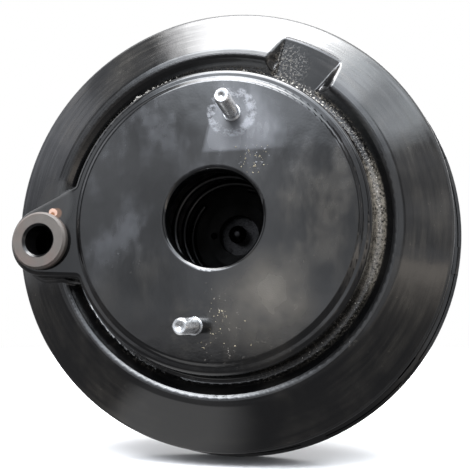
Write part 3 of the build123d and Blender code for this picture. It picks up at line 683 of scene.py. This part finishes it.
grains = [(x * MM, z * MM, GROOVE_Y, size * CHIP_SHARE * MM) for x, z, size in chips]
for degrees, size in wall_chips:
    x, y, z = rim_point((0, 0), WALL_CHIP_R, GROOVE_Y - WALL_CHIP_RISE, degrees / 360)
    grains.append((x, z, y, size * CHIP_SHARE * MM))
grains += ring_spots(3, 70, 42, 84, 0.0818, 0.0858, 0.00018, 0.00075)
grains += ring_spots(4, 60, 98, 140, 0.0820, 0.0858, 0.00016, 0.00065)
grains += ring_spots(5, 70, 8, 44, 0.0818, 0.0860, 0.00014, 0.00045)
grains += ring_spots(6, 50, -60, 12, 0.0822, 0.0856, 0.00012, 0.00035)
grains += ring_spots(7, 16, 150, 300, 0.0846, 0.0858, 0.00012, 0.00026)
crumb_piece("groove_crumbs", moulded(
    "crumb_plaster", (0.52, 0.50, 0.46), (0.30, 0.27, 0.23), 0.8, 0.0001, 0.6), grains, 11)

specks = cluster(21, 42, 0.0215, 0.0300, 0.0038, PLATEAU_Y, 0.00012, 0.00042)
specks += cluster(22, 16, 0.0030, -0.0490, 0.0030, PLATEAU_Y, 0.00014, 0.00036)
specks += cluster(23, 14, -0.0020, -0.0610, 0.0040, PLATEAU_Y, 0.00012, 0.00030)
for x, z in (
    (16.6, -52.6), (0.4, -59.1), (11.5, -64.9), (19.6, -64.3), (-4.2, -66.0), (4.9, -47.7)
):
    specks.append((x * MM, z * MM, PLATEAU_Y, 0.34 * MM))
crumb_piece("face_specks", moulded(
    "speck_sand", (0.34, 0.30, 0.21), (0.20, 0.17, 0.12), 0.8, 0.0001, 0.6), specks, 12)

for node, material, slot, body, joint, travel in (
    ("return_spring", spring_steel, "spring_steel", "housing", "power_stroke", POWER_STROKE),
    ("dust_boot", boot, "boot_rubber", "housing", "power_stroke", POWER_STROKE),
    ("input_spring", spring_steel, "spring_steel", "piston", "valve_stroke", VALVE_STROKE),
):
    live_copy(node, material, body)

camera_data = bpy.data.cameras.new("camera")
camera_data.lens = CAMERA_LENS
camera_data.sensor_width = 36.0
camera_data.clip_start = 0.01
camera = bpy.data.objects.new("camera", camera_data)
bpy.context.scene.collection.objects.link(camera)
ahead = Vector(CAMERA_AHEAD).normalized()
side = Vector(CAMERA_SIDE).normalized()
above = side.cross(ahead).normalized()
turn = Matrix((side, above, -ahead)).transposed().to_4x4()
camera.matrix_world = Matrix.Translation(CAMERA_PLACE) @ turn
bpy.context.scene.camera = camera


def floor_piece(z):
    """A pale floor that turns into the white backdrop with distance. To every ray but the
    camera's it glows instead, as painted reflection and painted light: faint near the part,
    brighter with distance, with a bright patch under the ring and a warm one far to the front
    right."""
    far = FLOOR_REACH
    corners = [(-far, -far, z), (far, -far, z), (far, far, z), (-far, far, z)]
    mesh = bpy.data.meshes.new("floor")
    mesh.from_pydata(corners, [], [(0, 1, 2, 3)])
    s = Shade("pale_floor", Roughness=0.9)
    s.finish(Base_Color=s.mix(s.noise(6.0, 3.0), (0.80, 0.80, 0.80), (0.83, 0.83, 0.83)))
    distance = s.away(0.0, 0.0, 0.0)
    white = s.add("ShaderNodeEmission", {"Strength": 1.0})
    shown = s.add(
        "ShaderNodeMixShader",
        {0: s.steps(distance, 0.35, 1.6), 1: s.shader.outputs[0], 2: white.outputs[0]},
    )
    # Painted reflection: the glow colours below are what the paint mirrors and what lights the
    # part from the floor's side, in place of a lit floor.
    mirrored = s.mix(s.steps(distance, 0.5, 2.5), (0.22, 0.22, 0.23), (0.85, 0.86, 0.90))
    glow_under_ring = s.spot(-0.040, z, 0.028, 0.036, y=-0.097)
    mirrored = s.mix(glow_under_ring, mirrored, (1.05, 1.05, 1.06))
    warm_glow_patch = s.spot(0.95, z, 0.20, 0.85, y=-0.78)
    mirrored = s.mix(warm_glow_patch, mirrored, (1.9, 1.75, 1.6))
    reflected_glow = s.add("ShaderNodeEmission", {"Color": mirrored})
    ray = s.add("ShaderNodeLightPath")
    surface = s.add(
        "ShaderNodeMixShader",
        {0: ray.outputs["Is Camera Ray"], 1: reflected_glow.outputs[0], 2: shown.outputs[0]},
    )
    s.tree.links.new(surface.outputs[0], s.tree.nodes["Material Output"].inputs["Surface"])
    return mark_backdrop(mesh_object("floor", mesh, s.data, smooth=False))


def softbox(name, centre, aim, width, height, radiance):
    """A rectangular area light. Its power follows from the radiance of its face."""
    data = bpy.data.lights.new(name, "AREA")
    data.shape = "RECTANGLE"
    data.size = width
    data.size_y = height
    data.energy = radiance * math.pi * width * height
    obj = bpy.data.objects.new(name, data)
    bpy.context.scene.collection.objects.link(obj)
    obj.location = centre
    obj.rotation_mode = "QUATERNION"
    obj.rotation_quaternion = (Vector(aim) - Vector(centre)).to_track_quat("-Z", "Y")
    obj.visible_camera = False
    return obj


floor = floor_piece(cad_low.z)
lamp = softbox("softbox_back", (0.30, 1.60, 0.90), (0, 0.05, 0), 1.20, 0.90, 4.0)
receivers = bpy.data.collections.new("lit_by_softbox")
for obj in bpy.context.scene.objects:
    if obj.type == "MESH" and obj != floor:
        receivers.objects.link(obj)
lamp.light_linking.receiver_collection = receivers

world = bpy.data.worlds.new("studio")
world.use_nodes = True
bpy.context.scene.world = world
tree = world.node_tree
direction = tree.nodes.new("ShaderNodeTexCoord").outputs["Generated"]


def glow(azimuth, elevation, inner, outer, color):
    """A soft round light in the surroundings. Azimuth runs from -Y towards +X, in degrees."""
    a, e = math.radians(azimuth), math.radians(elevation)
    aim = (math.sin(a) * math.cos(e), -math.cos(a) * math.cos(e), math.sin(e))
    dot = add_node(tree, "ShaderNodeVectorMath", {0: direction, 1: aim}, operation="DOT_PRODUCT")
    fade = add_node(
        tree,
        "ShaderNodeMapRange",
        {
            "Value": dot.outputs["Value"],
            "From Min": math.cos(math.radians(outer)),
            "From Max": math.cos(math.radians(inner)),
        },
        interpolation_type="SMOOTHSTEP",
    )
    inputs = {0: color, "Scale": fade.outputs["Result"]}
    return add_node(tree, "ShaderNodeVectorMath", inputs, operation="SCALE").outputs["Vector"]


glows = [
    glow(0, 90, 0, 179, (0.36, 0.37, 0.39)),
    glow(-4, 76, 8, 28, (17.0, 17.0, 17.2)),
    glow(-3, 41, 17, 27, (3.8, 4.1, 4.5)),
    glow(-8, 46, 11, 20, (12.0, 12.2, 12.6)),
    glow(-10, 9, 5, 32, (1.02, 1.06, 1.13)),
    glow(46, 53, 10, 26, (4.6, 4.9, 5.2)),
    glow(55, 14, 4, 22, (0.55, 0.55, 0.57)),
    glow(-78, 28, 5, 26, (0.62, 0.64, 0.70)),
    glow(180, 40, 20, 80, (0.45, 0.45, 0.46)),
    glow(-130, 20, 15, 50, (0.7, 0.7, 0.72)),
    glow(125, 20, 15, 50, (0.7, 0.7, 0.72)),
]
light = glows[0]
for extra in glows[1:]:
    both = add_node(tree, "ShaderNodeVectorMath", {0: light, 1: extra}, operation="ADD")
    light = both.outputs["Vector"]
unrest = add_node(tree, "ShaderNodeTexNoise", {"Vector": direction, "Scale": 5.5, "Detail": 3.0})
patches = add_node(
    tree,
    "ShaderNodeMapRange",
    {
        "Value": unrest.outputs["Fac"],
        "From Min": 0.34,
        "From Max": 0.66,
        "To Min": 0.62,
        "To Max": 1.30,
    },
)
uneven = add_node(
    tree, "ShaderNodeVectorMath", {0: light, "Scale": patches.outputs["Result"]},
    operation="SCALE",
)
seen = tree.nodes.new("ShaderNodeLightPath")
pick = add_node(
    tree,
    "ShaderNodeMix",
    {0: seen.outputs["Is Camera Ray"], 6: uneven.outputs["Vector"], 7: (1.0, 1.0, 1.0, 1.0)},
    data_type="RGBA",
)
tree.links.new(pick.outputs[2], tree.nodes["Background"].inputs["Color"])
bpy.context.scene.view_settings.view_transform = "Standard"
